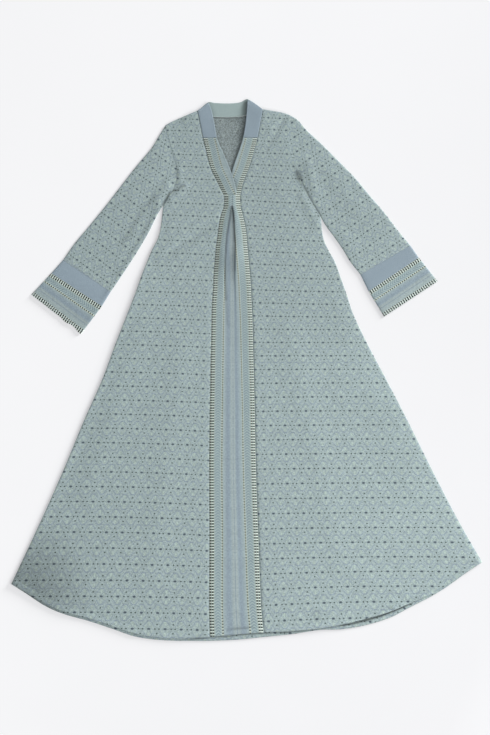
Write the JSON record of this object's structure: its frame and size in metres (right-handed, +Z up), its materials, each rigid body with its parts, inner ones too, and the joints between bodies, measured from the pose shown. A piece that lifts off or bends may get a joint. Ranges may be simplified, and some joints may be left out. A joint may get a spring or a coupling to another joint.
{
  "type": "jacquard maxi dress",
  "caption": "Long A-line knit dress laid flat, with a crossed V neckband, long sleeves with wide border cuffs, and a striped centre panel with an inverted pleat.",
  "frame": {"origin": "middle of the flat underside's bounding box, on the surface the dress lies on", "axes": "+X across the dress towards the sleeve on the right from above, +Y from hem to neck, +Z up from the surface"},
  "size_m": [1.27, 1.463, 0.0121],
  "materials": {
    "jacquard_knit": "matt double knit with a small figured repeat",
    "border_jacquard": "matt knit with lengthwise border stripes and dashes",
    "plain_blue_knit": "matt plain knit",
    "neckband_inside": "matt plain knit",
    "knit_wrong_side": "matt melange wrong side of the jacquard",
    "sewing_thread": "matt polyester thread"
  },
  "bodies": {
    "root": {"back_panel": "jacquard_knit", "front_panel_left": "jacquard_knit", "front_panel_right": "jacquard_knit", "centre_panel": "border_jacquard", "neckband_back": "neckband_inside", "neckband_left_plain": "plain_blue_knit", "neckband_right_plain": "plain_blue_knit", "neckband_left_border": "border_jacquard", "neckband_right_border": "border_jacquard", "sleeve_left": "jacquard_knit", "sleeve_right": "jacquard_knit", "cuff_plain_left": "plain_blue_knit", "cuff_plain_right": "plain_blue_knit", "cuff_border_left": "border_jacquard", "cuff_border_right": "border_jacquard"}
  },
  "joints": []
}
